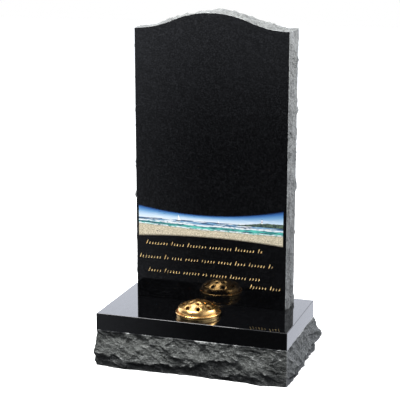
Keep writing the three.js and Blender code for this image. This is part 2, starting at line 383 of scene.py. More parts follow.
def spun_metal():
    """Fine rings of a spinning lathe, and the smears of handling."""
    group, tree, given, out = new_group("spun_metal", {"Ring Width": 0.0008}, ("Rings", "Smears"))
    x, y, z = tree.parts(given["Vector"])
    across = tree.maths("SQRT", tree.add(tree.times(x, x), tree.times(y, y)))
    along = tree.ratio(tree.add(across, tree.times(z, -0.7)), given["Ring Width"])
    tree.feed(out["Rings"], tree.line_noise(along, 1.0, 2.0))
    tree.feed(out["Smears"], tree.noise(given["Vector"], 45.0, 3.0))
    return group


def srgb(red, green, blue):
    """Colour from sRGB values of 0 to 255."""
    def linear(value):
        share = value / 255
        return share / 12.92 if share <= 0.04045 else ((share + 0.055) / 1.055) ** 2.4
    return (linear(red), linear(green), linear(blue), 1)


class Seascape:
    """Generic painted seascape across the tablet: sky, sea, surf and sand, with small sailing boats,
    a headland with a lighthouse, gulls and pebbles. It is colour in the face only, not raised."""

    HORIZON = 0.435
    MIDDLE = -0.0015
    HALF_WIDTH = 0.2370
    EDGE = 0.0007

    def __init__(self):
        group, tree, given, out = new_group("painted_seascape", {}, ("Colour", "Cover"))
        self.group, self.tree = group, tree
        self.vector = given["Vector"]
        self.x, _, self.z = tree.parts(self.vector)
        colour = self.sky()
        colour = self.sea(colour)
        colour = self.headland(colour)
        colour = self.boat(colour, -0.106, self.HORIZON - 0.0045, 1.0)
        colour = self.boat(colour, 0.026, self.HORIZON - 0.0018, 0.45)
        colour = self.shore(colour)
        colour = self.gulls(colour)
        tree.feed(out["Colour"], colour)
        tree.feed(out["Cover"], self.cover())

    def curve(self, level, middle, bend):
        """Height of a parabola across the face."""
        off = self.tree.take(self.x, middle)
        return self.tree.add(level, self.tree.times(bend, self.tree.times(off, off)))

    def off(self, x):
        """How far from an upright line of the picture."""
        return self.tree.maths("ABSOLUTE", self.tree.take(self.x, x))

    def top(self):
        return self.curve(0.4565, -0.03, 0.46)

    def sky(self):
        tree = self.tree
        rise = tree.take(self.top(), self.HORIZON)
        share = tree.ratio(tree.take(self.z, self.HORIZON), rise)
        colour = tree.ramp(share, [
            (0.0, srgb(222, 232, 238)), (0.30, srgb(190, 214, 234)), (0.56, srgb(116, 164, 206)),
            (0.80, srgb(54, 104, 166)), (0.94, srgb(18, 42, 84)), (1.0, srgb(4, 10, 24))])
        clouds = tree.step(tree.noise(self.vector, 60.0, 4.0, (0.35, 1.0, 2.2)), 0.52, 0.72, 0.0, 0.75)
        low = tree.step(share, 0.05, 0.7, 1.0, 0.0)
        return tree.mix(tree.times(clouds, low), colour, srgb(242, 246, 250))

    def sea(self, colour):
        tree = self.tree
        streaks = tree.noise(self.vector, 130.0, 4.0, (0.16, 1.0, 3.0))
        deep = tree.mix(tree.step(streaks, 0.4, 0.56), srgb(12, 46, 84), srgb(116, 160, 194))
        caps = tree.step(tree.noise(self.vector, 170.0, 3.0, (0.16, 1.0, 2.6)), 0.56, 0.62)
        deep = tree.mix(caps, deep, srgb(244, 247, 246))
        shallow = tree.noise(self.vector, 130.0, 3.0, (0.24, 1.0, 2.2))
        teal = tree.mix(tree.step(shallow, 0.4, 0.6), srgb(10, 92, 104), srgb(92, 196, 182))
        near = tree.step(tree.take(self.z, self.wave_line()), -0.004, 0.002, 1.0, 0.0)
        water = tree.mix(near, deep, teal)
        below = tree.step(tree.take(self.z, self.HORIZON), -self.EDGE, self.EDGE, 1.0, 0.0)
        return tree.mix(below, colour, water)

    def ripple(self, size, wander):
        """Slow wandering height along the picture."""
        noise = self.tree.line_noise(self.x, 1 / size, 3.0)
        return self.tree.times(self.tree.take(noise, 0.5), wander)

    def wave_line(self):
        return self.tree.add(self.curve(0.4215, 0.08, 0.05), self.ripple(0.09, 0.008))

    def shore_line(self):
        return self.tree.add(self.curve(0.4065, 0.15, 0.055), self.ripple(0.12, 0.006))

    def shore(self, colour):
        tree = self.tree
        wave = tree.take(self.z, self.wave_line())
        foam = tree.noise(self.vector, 240.0, 4.0, (0.3, 1.0, 1.0))
        breaker = tree.within(wave, -0.0022, 0.0028, 0.0012)
        colour = tree.mix(tree.times(breaker, tree.step(foam, 0.36, 0.52)), colour, srgb(232, 238, 240))
        shore = tree.take(self.z, self.shore_line())
        wash = tree.within(shore, -0.001, 0.0042, 0.0014)
        colour = tree.mix(tree.times(wash, tree.step(foam, 0.4, 0.55)), colour, srgb(230, 236, 238))
        grains = tree.noise(self.vector, 420.0, 4.0, (0.5, 1.0, 1.0))
        sand = tree.mix(tree.step(grains, 0.36, 0.66), srgb(170, 159, 132), srgb(226, 217, 194))
        sand = tree.mix(tree.step(shore, -0.005, 0.0, 0.0, 0.7), sand, srgb(160, 152, 136))
        colour = tree.mix(tree.step(shore, -0.0009, 0.0009, 1.0, 0.0), colour, sand)
        for x, z, size in ((-0.176, 0.3935, 0.0034), (-0.168, 0.3922, 0.0024), (-0.159, 0.3941, 0.0018),
                           (0.052, 0.3975, 0.0030), (0.061, 0.3962, 0.0019), (0.188, 0.3892, 0.0026)):
            colour = self.pebble(colour, x, z, size)
        return colour

    def pebble(self, colour, x, z, size):
        tree = self.tree
        across = tree.ratio(tree.take(self.x, x), size)
        up = tree.ratio(tree.take(self.z, z), size * 0.5)
        reach = tree.add(tree.times(across, across), tree.times(up, up))
        tone = tree.mix(tree.step(up, -0.6, 0.8), srgb(58, 54, 52), srgb(168, 158, 146))
        return tree.mix(tree.step(reach, 0.7, 1.15, 1.0, 0.0), colour, tone)

    def headland(self, colour):
        tree = self.tree
        climb = tree.step(self.x, 0.085, 0.19, 0.0, 0.0105)
        skyline = tree.add(tree.add(climb, self.ripple(0.012, 0.0035)), self.HORIZON - 0.0012)
        land = tree.times(tree.step(tree.take(self.z, skyline), -self.EDGE, self.EDGE, 1.0, 0.0),
                          tree.step(self.z, self.HORIZON - 0.0042, self.HORIZON - 0.003))
        land = tree.times(land, tree.step(self.x, 0.088, 0.094))
        rough = tree.noise(self.vector, 260.0, 4.0, (0.6, 1.0, 1.0))
        tone = tree.mix(tree.step(rough, 0.38, 0.64), srgb(36, 52, 60), srgb(96, 116, 92))
        colour = tree.mix(land, colour, tone)
        return self.lighthouse(colour, 0.168, self.HORIZON + 0.0075)

    def lighthouse(self, colour, x, foot):
        tree = self.tree
        height = 0.0125
        up = tree.take(self.z, foot)
        half = tree.take(0.0021, tree.times(0.06, up))
        off = self.off(x)
        soft = 0.0003
        inside = tree.step(tree.take(off, half), -soft, soft, 1.0, 0.0)
        tower = tree.times(inside, tree.within(up, 0.0, height, soft))
        paint = tree.mix(tree.within(up, 0.0045, 0.0072, soft), srgb(246, 246, 244), srgb(178, 52, 44))
        colour = tree.mix(tower, colour, paint)
        cap = tree.times(tree.within(up, height, height + 0.002, soft),
                         tree.step(off, 0.0011, 0.0016, 1.0, 0.0))
        return tree.mix(cap, colour, srgb(34, 36, 44))

    def boat(self, colour, x, water, size):
        """Small sailing boat: a dark hull under a main sail and a fore sail."""
        tree = self.tree
        across = tree.ratio(tree.take(self.x, x), size)
        up = tree.ratio(tree.take(self.z, water), size)
        soft = 0.0004
        hull_half = tree.add(0.0062, tree.times(0.9, up))
        over_side = tree.take(tree.maths("ABSOLUTE", across), hull_half)
        hull = tree.times(tree.step(over_side, -soft, soft, 1.0, 0.0),
                          tree.within(up, 0.0, 0.0022, soft))
        colour = tree.mix(hull, colour, srgb(38, 44, 62))
        lean = tree.times(0.46, tree.take(0.0215, up))
        main = tree.times(tree.within(across, 0.0002, lean, soft), tree.within(up, 0.003, 0.0215, soft))
        fore_lean = tree.times(-0.34, tree.take(0.0185, up))
        fore = tree.times(tree.within(across, fore_lean, -0.0004, soft), tree.within(up, 0.003, 0.0185, soft))
        colour = tree.mix(main, colour, srgb(250, 248, 240))
        return tree.mix(fore, colour, srgb(206, 214, 226))

    def gulls(self, colour):
        """Gulls as two bent wings each."""
        tree = self.tree
        for x, z, span in ((-0.168, 0.4560, 0.0052), (-0.152, 0.4515, 0.0040), (-0.052, 0.4478, 0.0036)):
            off = self.off(x)
            bend = tree.take(off, tree.ratio(tree.times(off, off), span))
            wing = tree.add(z, tree.times(0.9, bend))
            line = tree.within(tree.take(self.z, wing), -0.0004, 0.0004, 0.0003)
            colour = tree.mix(tree.times(line, tree.step(off, span * 0.8, span, 1.0, 0.0)), colour,
                              srgb(20, 30, 54))
        return colour

    def cover(self):
        tree = self.tree
        soft = 0.0006
        sides = tree.step(self.off(self.MIDDLE), self.HALF_WIDTH - soft, self.HALF_WIDTH + soft, 1.0, 0.0)
        fade = tree.step(tree.take(self.z, self.top()), -0.0060, 0.0015, 1.0, 0.0)
        foot = tree.step(tree.take(self.z, self.curve(0.3866, 0.0, -0.19)), -0.0040, 0.0036)
        return tree.times(sides, tree.times(fade, foot))


# Materials

def new_material(name, roughness, metallic=0.0, ior=1.5):
    """Material with plain values on its shader, and its tree."""
    material = bpy.data.materials.new(name)
    material.use_nodes = True
    tree = Tree(material.node_tree)
    shader = material.node_tree.nodes["Principled BSDF"].inputs
    shader["Roughness"].default_value = roughness
    shader["Metallic"].default_value = metallic
    shader["IOR"].default_value = ior
    return material, tree, shader


def put_group(tree, group, place, **numbers):
    """Node group in a material, at a place, with its own values."""
    node = tree.nodes.new("ShaderNodeGroup")
    node.node_tree = group
    tree.feed(node.inputs["Vector"], place)
    for name, value in numbers.items():
        tree.feed(node.inputs[name.replace("_", " ")], value)
    return node.outputs


def put_bump(tree, shader, height, strength, distance):
    bump = tree.node("ShaderNodeBump", {"Height": height, "Strength": strength, "Distance": distance})
    tree.feed(shader["Normal"], bump.outputs["Normal"])


def polished_granite(name, groups, fleck, sparkle, painted=False):
    """Black granite under a mirror polish, and the painted band where there is one."""
    material, tree, shader = new_material(name, 0.035, ior=1.55)
    place = tree.place()
    crystals = put_group(tree, groups["crystals"], place, Grain_Size=0.0018, Fleck_Share=0.36)
    ground = tree.mix(crystals["Cloud"], (0.0005, 0.0005, 0.0006, 1), (0.0010, 0.0010, 0.0012, 1))
    colour = tree.mix(crystals["Flecks"], ground, (fleck, fleck * 1.05, fleck * 1.18, 1))
    roughness = tree.step(crystals["Cloud"], 0.3, 0.7, 0.028, 0.05)
    gloss = tree.times(crystals["Flecks"], sparkle)
    if painted:
        paint = put_group(tree, groups["seascape"], place)
        colour = tree.mix(paint["Cover"], colour, paint["Colour"])
        roughness = tree.add(roughness, tree.times(paint["Cover"], 0.3))
        gloss = tree.times(gloss, tree.take(1.0, paint["Cover"]))
    tree.feed(shader["Base Color"], colour)
    tree.feed(shader["Roughness"], roughness)
    tree.feed(shader["Coat Weight"], gloss)
    return material


def rock_pitched_granite(name, groups, arris_distance, dark, pale, crushed_and_highlight):
    """Broken granite between two greys, crystalline and dull, pale from crushing along its arrises and
    ridges, with painted shade in its hollows and towards its foot, and a painted highlight on its slanting
    chip edges.
    """
    material, tree, shader = new_material(name, 0.62, ior=1.5)
    place = tree.place()
    crystals = put_group(tree, groups["crystals"], place, Grain_Size=0.0018, Fleck_Share=0.3)
    bruise = put_group(tree, groups["bruise"], place, Distance=arris_distance(tree, place),
                       Width=0.0032)["Bruise"]
    ground = tree.mix(tree.step(crystals["Cloud"], 0.3, 0.7), dark, pale)
    colour = tree.mix(tree.times(crystals["Flecks"], 0.5), ground, (0.24, 0.25, 0.24, 1))
    bend = tree.nodes.new("ShaderNodeNewGeometry").outputs["Pointiness"]
    # Painted shade: the colour is darkened where the surface is hollow, in the rock's crevices.
    colour = tree.mix(tree.step(bend, 0.43, 0.497, 0.8, 0.0), colour, (0.014, 0.015, 0.016, 1))
    # Painted shade: the colour is darkened towards the foot of the stone, below a ragged line.
    foot = tree.add(tree.parts(place)[2], tree.times(0.03, tree.noise(place, 24.0, 3.0)))
    colour = tree.mix(tree.step(foot, 0.025, 0.065, 0.55, 0.0), colour, (0.014, 0.015, 0.016, 1))
    crest = tree.times(tree.step(bend, 0.51, 0.60), tree.step(tree.noise(place, 120.0, 3.0), 0.35, 0.6))
    colour = tree.mix(tree.times(crest, 0.8), colour, crushed_and_highlight)
    colour = tree.mix(tree.times(bruise, 0.8), colour, crushed_and_highlight)
    # Painted highlight: the slanting chip edges are lightened to the pale tone, as if they caught the light.
    broken = put_group(tree, groups["broken"], place)
    tree.feed(shader["Base Color"], tree.mix(tree.times(broken["Edges"], 0.8), colour, crushed_and_highlight))
    put_bump(tree, shader, tree.add(broken["Height"], tree.times(crystals["Grain"], 0.12)), 0.9, 0.0036)
    return material


def base_arris_distance(tree, place):
    """How far down from the polished band."""
    return tree.take(ROCK_HEIGHT, tree.parts(place)[2])


def tablet_arris_distance(tree, place):
    """How far in from the polished face."""
    return tree.take(tree.parts(place)[1], TABLET_FRONT)


def sawn_granite(groups):
    """Diamond-sawn back and underside: dark, dull, with faint saw lines."""
    material, tree, shader = new_material("sawn_granite", 0.5, ior=1.5)
    place = tree.place()
    crystals = put_group(tree, groups["crystals"], place, Grain_Size=0.0013, Fleck_Share=0.24)
    ground = tree.mix(crystals["Cloud"], (0.022, 0.023, 0.025, 1), (0.040, 0.041, 0.044, 1))
    colour = tree.mix(tree.times(crystals["Flecks"], 0.5), ground, (0.15, 0.15, 0.16, 1))
    tree.feed(shader["Base Color"], colour)
    x, _, z = tree.parts(place)
    lines = tree.line_noise(tree.add(z, tree.times(x, 0.03)), 420.0, 2.0)
    put_bump(tree, shader, tree.add(lines, tree.times(crystals["Grain"], 0.4)), 0.35, 0.0004)
    return material


def gilding():
    """Gold paint in the cut strokes, slightly uneven."""
    material, tree, shader = new_material("gilding", 0.38, metallic=0.0, ior=1.45)
    place = tree.place()
    uneven = tree.noise(place, 700.0, 3.0)
    tree.feed(shader["Base Color"], tree.mix(uneven, (0.62, 0.42, 0.13, 1), (1.0, 0.80, 0.42, 1)))
    put_bump(tree, shader, uneven, 0.3, 0.0002)
    return material


def gold_metal(groups):
    """Spun, lacquered metal of a gold colour."""
    material, tree, shader = new_material("gold_metal", 0.2, metallic=1.0)
    place = tree.vector_maths("SUBTRACT", tree.place(), POT_MIDDLE)
    spun = put_group(tree, groups["spun"], place, Ring_Width=0.0009)
    gold = tree.mix(spun["Smears"], (0.66, 0.36, 0.11, 1), (0.84, 0.54, 0.22, 1))
    tree.feed(shader["Base Color"], gold)
    tree.feed(shader["Roughness"], tree.step(spun["Smears"], 0.3, 0.7, 0.21, 0.31))
    put_bump(tree, shader, spun["Rings"], 0.16, 0.00025)
    return material


def pot_metal(groups):
    """The same spun metal, darkened deeper inside the pot as painted shade."""
    material, tree, shader = new_material("pot_metal", 0.22, metallic=1.0)
    place = tree.vector_maths("SUBTRACT", tree.place(), POT_MIDDLE)
    spun = put_group(tree, groups["spun"], place, Ring_Width=0.0012)
    bright = tree.mix(spun["Smears"], (0.66, 0.43, 0.16, 1), (0.86, 0.62, 0.28, 1))
    # Painted shade: the colour darkens deeper inside the pot.
    depth = tree.step(tree.parts(place)[2], -0.02, 0.0, 0.75, 0.0)
    tree.feed(shader["Base Color"], tree.mix(depth, bright, (0.16, 0.13, 0.09, 1)))
    tree.feed(shader["Roughness"], tree.step(spun["Smears"], 0.3, 0.7, 0.14, 0.3))
    put_bump(tree, shader, spun["Rings"], 0.2, 0.0003)
    return material


# Rock-pitched relief, by the same rules as the solids

def chance(i, j, seed):
    """Repeatable number from 0 to 1 for a cell of a grid."""
    x = np.sin(i * 127.1 + j * 311.7 + seed * 74.7) * 43758.5453
    return x - np.floor(x)


def drift(along, length, seed):
    """Slow, smooth wander from 0 to 1 along a length."""
    cell = np.floor(along / length)
    share = along / length - cell
    ease = share * share * (3 - 2 * share)
    return chance(cell, 0, seed) * (1 - ease) + chance(cell + 1, 0, seed) * ease


def scooped(u, v, scoop):
    """Shell-shaped scoops that meet in sharp ridges: 0 at the bottom, about 1 on the highest ridges."""
    wide, high, turn, _, seed = scoop
    c, s = math.cos(turn), math.sin(turn)
    x = (u * c + v * s) / wide
    y = (v * c - u * s) / high
    lowest = np.full(x.shape, np.inf)
    for step_i in (-1, 0, 1):
        for step_j in (-1, 0, 1):
            i, j = np.floor(x) + step_i, np.floor(y) + step_j
            dx = x - i - chance(i, j, seed)
            dy = y - j - chance(i, j, seed + 1)
            lowest = np.minimum(lowest, 0.5 * chance(i, j, seed + 2) + dx * dx + dy * dy)
    return lowest


def scoop_relief(u, v, scoops):
    """All the scoops of a rock face together, about as much out as in."""
    return sum(scoop[3] * (scooped(u, v, scoop) - 0.5) for scoop in scoops)


def wander(u, v, size, seed):
    """Smooth random height from -1 to 1 over a surface."""
    i, j = np.floor(u / size), np.floor(v / size)
    a, b = u / size - i, v / size - j
    a, b = a * a * (3 - 2 * a), b * b * (3 - 2 * b)
    low = chance(i, j, seed) * (1 - a) + chance(i + 1, j, seed) * a
    high = chance(i, j + 1, seed) * (1 - a) + chance(i + 1, j + 1, seed) * a
    return 2 * (low * (1 - b) + high * b) - 1


def fine_relief(u, v):
    """Breakage finer than the solids show."""
    bent_u = u + FINE_WARP * wander(u, v, 0.03, 71)
    bent_v = v + FINE_WARP * wander(u, v, 0.03, 72)
    crumbs = sum(height * wander(u, v, size, seed) for height, size, seed in CRUMBS)
    return scoop_relief(bent_u, bent_v, FINE_SCOOPS) + crumbs


def foot_share(along):
    """How much of the bulge the base's foot keeps."""
    half_sides = [BASE_DEPTH / 2, BASE_DEPTH / 2, BASE_WIDTH / 2, BASE_WIDTH / 2] * 2
    return np.interp(along, np.cumsum([0] + half_sides), BASE_FOOT_SHARES + BASE_FOOT_SHARES[:1])


def base_relief(along, height):
    """How far the base's rock face stands out: leaning out to a ridge, and undercut below it."""
    share = height / ROCK_HEIGHT
    ridge = BASE_RIDGE_LEVEL + BASE_RIDGE_WANDER * (drift(along, *BASE_RIDGE_DRIFT) - 0.5)
    ridge = ridge + 0.05 * wander(along, height, 0.016, 75)
    above = (1 - share) / (1 - ridge)
    under = np.clip((share - ridge) / BASE_UNDERCUT + 1, 0, 1)
    below = foot_share(along) + (1 - foot_share(along)) * under
    lean = BASE_BULGE * 0.6 * (1 + drift(along, *BASE_SWELL_DRIFT)) * np.minimum(above, below)
    fade = np.minimum(1, (1 - share) / BASE_FADE)
    fine_fade = np.minimum(1, (1 - share) / FINE_FADE) * np.minimum(1, 0.4 + share / 0.1)
    return lean + fade * scoop_relief(along, height, BASE_SCOOPS) + fine_fade * fine_relief(along, height)


def edge_relief(along, across):
    """How far the tablet's rock edge stands out, with both arrises true."""
    thickness = TABLET_BACK - TABLET_FRONT
    share = across / thickness
    fade = np.minimum(1, np.minimum(share, 1 - share) / EDGE_FADE)
    lean = EDGE_BULGE * (0.5 + drift(along, *EDGE_SWELL_DRIFT)) * (1 - (2 * share - 1) ** 2)
    fine_fade = np.minimum(1, np.minimum(share, 1 - share) / FINE_FADE)
    return lean + fade * scoop_relief(along, across, EDGE_SCOOPS) + fine_fade * fine_relief(along, across)


def edge_columns(runs, corner_shares, closed):
    """Places along straight runs between corners, with the way out and how far along each one is."""
    places, outs, alongs = [], [], []
    start = 0.0
    for k, (a, b, out) in enumerate(runs):
        a, b, out = (np.array(v, float) for v in (a, b, out))
        length = np.linalg.norm(b - a)
        count = max(2, round(length / ROCK_SPACING))
        from_start = length * np.arange(count) / count
        near_start = np.maximum(0, 1 - from_start / CORNER_BLEND)[:, None]
        near_end = np.maximum(0, 1 - (length - from_start) / CORNER_BLEND)[:, None]
        before = np.array(runs[k - 1][2], float) if closed or k > 0 else np.zeros(3)
        after = np.array(runs[(k + 1) % len(runs)][2], float) if closed or k < len(runs) - 1 else np.zeros(3)
        lost_at_start = near_start * (1 - corner_shares[k])
        lost_at_end = near_end * (1 - corner_shares[(k + 1) % len(corner_shares)])
        places.append(a + (b - a) * (from_start / length)[:, None])
        outs.append((out + before * near_start + after * near_end) * (1 - lost_at_start - lost_at_end))
        alongs.append(start + from_start)
        start += length
    return np.concatenate(places), np.concatenate(outs), np.concatenate(alongs)


# Meshes

class Shell:
    """Vertices and faces of one piece, with a finish for each face."""

    def __init__(self):
        self.places, self.faces, self.finishes = [], [], []

    def add(self, places, faces, finishes):
        first = len(self.places)
        self.places.extend(tuple(map(float, p)) for p in places)
        self.faces.extend(tuple(first + k for k in face) for face in faces)
        self.finishes.extend(finishes if isinstance(finishes, list) else [finishes] * len(faces))

    def wall(self, rings, finish):
        """Faces between rings of as many places each, each ring closed on itself."""
        rows, sides = len(rings), len(rings[0])
        faces = []
        for r in range(rows - 1):
            for i in range(sides):
                j = (i + 1) % sides
                faces.append((r * sides + i, r * sides + j, (r + 1) * sides + j, (r + 1) * sides + i))
        self.add([p for ring in rings for p in ring], faces, finish)

    def fan(self, ring, middle, finish, turned=False):
        """Flat end of a ring, as triangles to a middle point."""
        sides = len(ring)
        faces = [(i, (i + 1) % sides, sides) for i in range(sides)]
        if turned:
            faces = [face[::-1] for face in faces]
        self.add(list(ring) + [middle], faces, finish)

    def drum(self, rings, low_middle, high_middle, finish):
        """Closed body of rings, with a fan at each end."""
        self.wall(rings, finish)
        self.fan(rings[0], low_middle, finish, turned=True)
        self.fan(rings[-1], high_middle, finish)

    def piece(self, name, materials, flat):
        """The finished object, its seams closed, with flat finishes shaded flat and the rest smooth."""
        mesh = bpy.data.meshes.new(name)
        mesh.from_pydata(self.places, [], self.faces)
        for material in materials:
            mesh.materials.append(material)
        mesh.polygons.foreach_set("material_index", self.finishes)
        work = bmesh.new()
        work.from_mesh(mesh)
        bmesh.ops.remove_doubles(work, verts=work.verts, dist=WELD)
        work.to_mesh(mesh)
        work.free()
        mesh.set_sharp_from_angle(angle=SHARP_EDGE)
        for face in mesh.polygons:
            face.use_smooth = face.material_index not in flat
        made = bpy.data.objects.new(name, mesh)
        bpy.context.collection.objects.link(made)
        return made


def anticlockwise(loop):
    """The same loop of flat points, turned round if it runs clockwise."""
    double_area = sum(a[0] * b[1] - b[0] * a[1] for a, b in zip(loop, loop[1:] + loop[:1]))
    return loop if double_area > 0 else loop[::-1]


def flat_cap(outline, cuts, holes=(), spines=()):
    """Triangles of a flat outline with cut strokes and holes in it.
    Returns the places and faces, for each face True if it lies in a cut, and for each place True if it
    is a point of a spine. Faces outside the outline or in a hole are dropped."""
    points, loops = [], []
    for loop in [outline, *cuts, *holes]:
        loops.append(list(range(len(points), len(points) + len(loop))))
        points.extend(Vector(p) for p in anticlockwise(loop))
    spine_start = len(points)
    points.extend(Vector(p) for p in spines)
    made = delaunay_2d_cdt(points, [], loops, 1, 1e-7, True)
    places, _, faces, from_points, _, from_loops = made
    cut_ids = set(range(1, 1 + len(cuts)))
    hole_ids = set(range(1 + len(cuts), 1 + len(cuts) + len(holes)))
    kept, in_cut = [], []
    for face, loops_of_face in zip(faces, from_loops):
        ids = set(loops_of_face)
        if not ids or ids & hole_ids:
            continue
        kept.append(tuple(face))
        in_cut.append(bool(ids & cut_ids))
    deep = [any(k >= spine_start for k in origin) for origin in from_points]
    return places, kept, in_cut, deep


def circle(x, y, radius, sides):
    """Flat points round a circle."""
    turns = [2 * math.pi * k / sides for k in range(sides)]
    return [(x + radius * math.cos(t), y + radius * math.sin(t)) for t in turns]


def ogee(x):
    """Height of the ogee top over the shoulders."""
    half = TABLET_WIDTH / 2
    radius = (half ** 2 + CROWN_RISE ** 2) / (4 * CROWN_RISE)
    from_crown = np.minimum(np.abs(x), half)
    crown = CROWN_RISE - radius + np.sqrt(radius ** 2 - from_crown ** 2)
    shoulder = radius - np.sqrt(radius ** 2 - (half - from_crown) ** 2)
    return np.where(from_crown < half / 2, crown, shoulder)


class Inscription:
    """Rows of separate slanting strokes cut into the face and gilded, in groups. None of them is a letter."""

    SLANT = 0.36
    BODY = 0.0088
    TALL = 0.0150
    PEN = 0.0027
    PITCH = 0.0096
    SPACE = 0.0066
    DEPTH = 0.0008
    # Each row: where it starts and ends, and the height of its foot line
    ROWS = [(-0.213, 0.180, 0.3475), (-0.236, 0.202, 0.3015), (-0.207, 0.170, 0.2570), (0.132, 0.232, 0.2310)]

    def __init__(self):
        self.outlines, self.spines = [], []
        self.choice = random.Random(12)
        for start, end, foot in self.ROWS:
            self.write(start, end, foot)

    def stroke(self, x, low, high, foot, width):
        """Leaf-shaped stroke with pointed ends, leaning right."""
        shares = (0.0, 0.16, 0.5, 0.84, 1.0)
        half_widths = (0.0, 0.74, 1.0, 0.74, 0.0)
        spine = []
        for share in shares:
            up = low + (high - low) * share
            spine.append(Vector((x + self.SLANT * up, foot + up)))
        way = (spine[-1] - spine[0]).normalized()
        side = Vector((way.y, -way.x)) * (width / 2)
        right = [p + side * w for p, w in zip(spine, half_widths)]
        left = [p - side * w for p, w in zip(spine, half_widths)]
        self.outlines.append(right + left[-2:0:-1])
        self.spines.extend(spine[1:-1])

    def mark(self, x, foot, tall):
        """One stroke, of the body's height or a tall one."""
        high = self.TALL if tall else self.BODY * self.choice.uniform(0.94, 1.06)
        self.stroke(x, 0.0, high, foot, self.PEN * self.choice.uniform(0.85, 1.15))

    def write(self, start, end, foot):
        """One row, in groups of strokes, some of them headed by a tall stroke."""
        x = start
        while x < end - self.PITCH:
            headed = x == start or self.choice.random() < 0.4
            for k in range(self.choice.choice((2, 3, 4, 5, 5, 6, 7, 8))):
                if x > end:
                    break
                self.mark(x, foot, headed and k == 0)
                x += self.PITCH
            x += self.SPACE


def base_stone(materials):
    """Base in one stone: rock-pitched faces, a polished band and top, and a round socket in the top."""
    half_x, half_y = BASE_WIDTH / 2, BASE_DEPTH / 2
    corners = [(-half_x, half_y, 0), (-half_x, -half_y, 0), (half_x, -half_y, 0), (half_x, half_y, 0)]
    ways = [(-1, 0, 0), (0, -1, 0), (1, 0, 0), (0, 1, 0)]
    runs = [(corners[k], corners[(k + 1) % 4], ways[k]) for k in range(4)]
    places, outs, along = edge_columns(runs, BASE_CORNER_SHARES, True)
    rings = []
    for height in np.linspace(0, ROCK_HEIGHT, round(ROCK_HEIGHT / ROCK_SPACING) + 1):
        ring = places + outs * base_relief(along, np.full(along.shape, height))[:, None]
        ring[:, 2] = height
        rings.append(ring)
    shell = Shell()
    shell.fan(rings[0], (0, 0, 0), SAWN, turned=True)
    shell.wall(rings, ROCK)
    edge = []
    for turn in range(0, 91, 15):
        angle = math.radians(turn)
        inset = BASE_ARRIS * (1 - math.cos(angle))
        ring = places * np.array([1 - inset / half_x, 1 - inset / half_y, 1])
        ring[:, 2] = BASE_TOP - BASE_ARRIS * (1 - math.sin(angle))
        edge.append(ring)
    shell.wall([rings[-1]] + edge, FACE)
    socket = circle(POT_MIDDLE.x, POT_MIDDLE.y, SOCKET_RADIUS, ROUND_SIDES)
    flat, faces, _, _ = flat_cap([p[:2] for p in edge[-1]], [], [socket])
    shell.add([(p.x, p.y, BASE_TOP) for p in flat], faces, FACE)
    mouth = [(x, y, BASE_TOP) for x, y in socket]
    floor = [(x, y, BASE_TOP - SOCKET_DEPTH) for x, y in socket]
    shell.wall([mouth, floor], SAWN)
    shell.fan(floor, (POT_MIDDLE.x, POT_MIDDLE.y, BASE_TOP - SOCKET_DEPTH), SAWN)
    return shell.piece("base_stone", materials, flat=(FACE, SAWN))


def tablet_stone(materials):
    """Tablet in one stone: polished face with the cut strokes, rock-pitched sides and ogee top, sawn back."""
    half = TABLET_WIDTH / 2
    shoulder = TABLET_FOOT + SHOULDER_HEIGHT
    feet = [(-half, 0, TABLET_FOOT), (-half, 0, shoulder), (half, 0, shoulder), (half, 0, TABLET_FOOT)]
    ways = [(-1, 0, 0), (0, 0, 1), (1, 0, 0)]
    runs = [(feet[k], feet[k + 1], ways[k]) for k in range(3)]
    places, outs, along = edge_columns(runs, TABLET_CORNER_SHARES, False)
    run = 2 * SHOULDER_HEIGHT + TABLET_WIDTH
    over_top = (along > SHOULDER_HEIGHT) & (along < run - SHOULDER_HEIGHT)
    places[:, 2] += np.where(over_top, ogee(places[:, 0]), 0)
    places = np.vstack([places, feet[3], (half / 2, 0, TABLET_FOOT), (-half / 2, 0, TABLET_FOOT)])
    outs = np.vstack([outs, ways[2], (0, 0, 0), (0, 0, 0)])
    along = np.append(along, [run, 0, 0])
    thickness = TABLET_BACK - TABLET_FRONT
    rings = []
    for across in np.linspace(0, thickness, round(thickness / ROCK_SPACING) + 1):
        ring = places + outs * edge_relief(along, np.full(along.shape, across))[:, None]
        ring[:, 1] = TABLET_FRONT + across
        rings.append(ring)
    shell = Shell()
    shell.wall(rings, ROCK)
    words = Inscription()
    outline = [(p[0], p[2]) for p in rings[0]]
    flat, faces, in_cut, deep = flat_cap(outline, words.outlines, spines=words.spines)
    shell.add([(p.x, TABLET_FRONT + (words.DEPTH if low else 0), p.y) for p, low in zip(flat, deep)],
              faces, [GILDING if cut else FACE for cut in in_cut])
    shell.fan(rings[-1], (0, TABLET_BACK, TABLET_FOOT + SHOULDER_HEIGHT / 2), SAWN)
    return shell.piece("tablet_stone", materials, flat=(FACE, SAWN, GILDING))


def spun(name, profile, sides, material):
    """Round piece from a profile of radii and heights that starts and ends on its axis."""
    middle_x, middle_y, _ = POT_MIDDLE
    rings = [[(x, y, BASE_TOP + height) for x, y in circle(middle_x, middle_y, radius, sides)]
             for radius, height in profile[1:-1]]
    ends = [(middle_x, middle_y, BASE_TOP + profile[k][1]) for k in (0, -1)]
    shell = Shell()
    shell.drum(rings, *ends, 0)
    return shell.piece(name, [material], flat=())


def arc(middle, radius, start, end, count):
    """Points of an arc in a profile, from one angle to another in degrees."""
    angles = [math.radians(start + (end - start) * k / count) for k in range(count + 1)]
    return [(middle[0] + radius * math.cos(a), middle[1] + radius * math.sin(a)) for a in angles]


